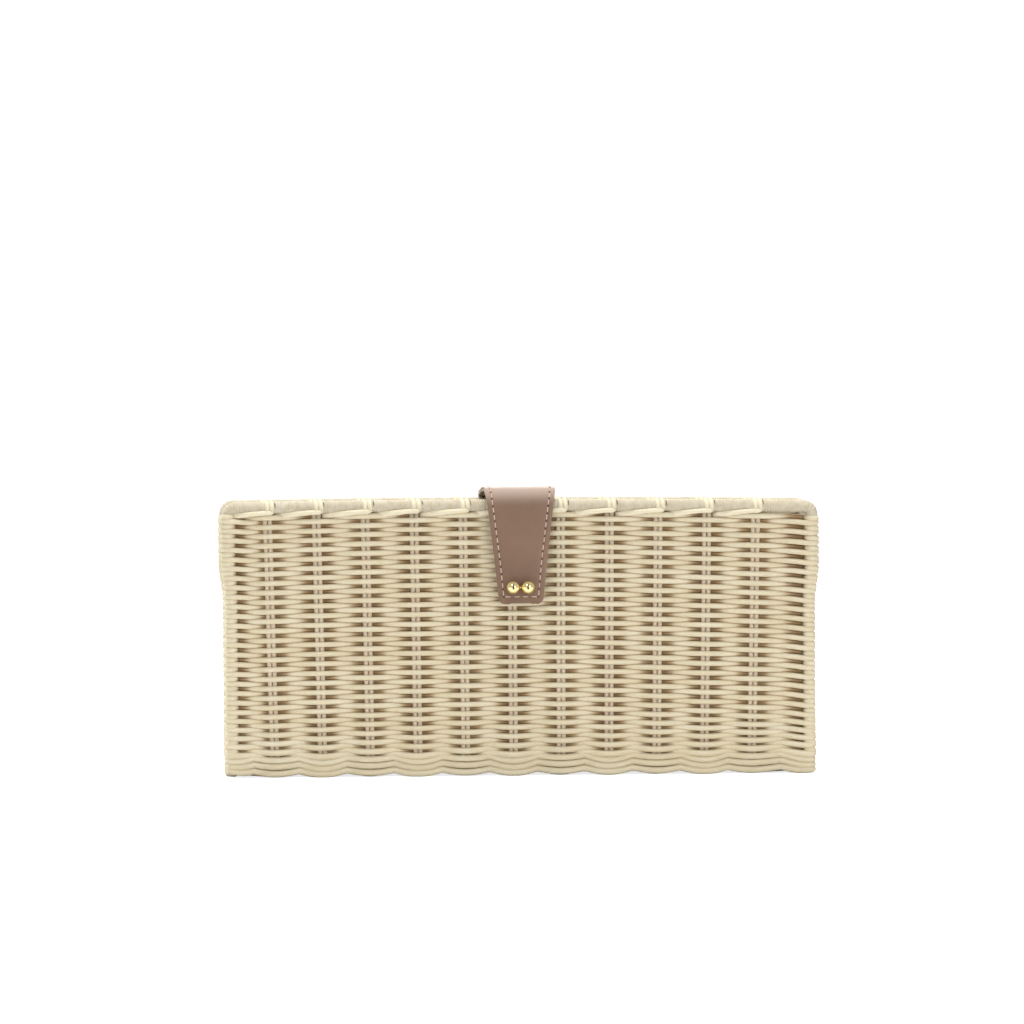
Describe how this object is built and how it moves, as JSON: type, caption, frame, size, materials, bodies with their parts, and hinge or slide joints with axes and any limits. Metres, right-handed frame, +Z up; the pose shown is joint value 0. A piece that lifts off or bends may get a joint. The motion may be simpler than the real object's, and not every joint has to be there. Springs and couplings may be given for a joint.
{
  "type": "basket box bag",
  "caption": "Rectangular woven rattan clutch box with bound rim hoops and a tapered leather strap that folds over the open mouth and snaps to the front.",
  "frame": {"origin": "on the floor under the middle of the base", "axes": "+Z up, +X to the right along the long side, front panel facing -Y"},
  "size_m": [0.2944, 0.0763, 0.142],
  "materials": {
    "woven_rattan": "natural peeled rattan core, satin",
    "stake_rattan": "natural peeled rattan core, satin",
    "cane_binding": "natural cane strip, slightly glossy",
    "strap_leather": "smooth dusty brown leather, soft sheen",
    "lining_leather": "matte lining leather",
    "gold_metal": "polished gold plate",
    "snap_metal": "plated magnet case"
  },
  "bodies": {
    "basket": {"back_hoop": "stake_rattan", "back_hoop_binding": "cane_binding", "back_left_post": "stake_rattan", "back_right_post": "stake_rattan", "back_weave": "woven_rattan", "base_weave": "woven_rattan", "cross_stakes_01": "stake_rattan", "cross_stakes_02": "stake_rattan", "cross_stakes_03": "stake_rattan", "cross_stakes_04": "stake_rattan", "cross_stakes_05": "stake_rattan", "cross_stakes_06": "stake_rattan", "cross_stakes_07": "stake_rattan", "cross_stakes_08": "stake_rattan", "cross_stakes_09": "stake_rattan", "cross_stakes_10": "stake_rattan", "cross_stakes_11": "stake_rattan", "front_hoop": "stake_rattan", "front_hoop_binding": "cane_binding", "front_left_post": "stake_rattan", "front_right_post": "stake_rattan", "front_weave": "woven_rattan", "inner_patch": "lining_leather", "left_rivet": "gold_metal", "left_side_rim": "cane_binding", "left_side_weave": "woven_rattan", "length_stakes_01": "stake_rattan", "length_stakes_02": "stake_rattan", "panel_magnet": "snap_metal", "right_rivet": "gold_metal", "right_side_rim": "cane_binding", "right_side_weave": "woven_rattan", "tail_lining_leather": "lining_leather", "tail_outer_leather": "strap_leather"},
    "strap": {"ball_bridge": "gold_metal", "left_ball_stud": "gold_metal", "right_ball_stud": "gold_metal", "strap_lining_leather": "lining_leather", "strap_magnet": "snap_metal", "strap_outer_leather": "strap_leather"}
  },
  "joints": [
    {"name": "strap_fold", "type": "hinge", "parent": "basket", "child": "strap", "pos_m": [0, 0.0329, 0.127], "axis": [-1, 0, 0], "range_deg": [0, 150]}
  ]
}
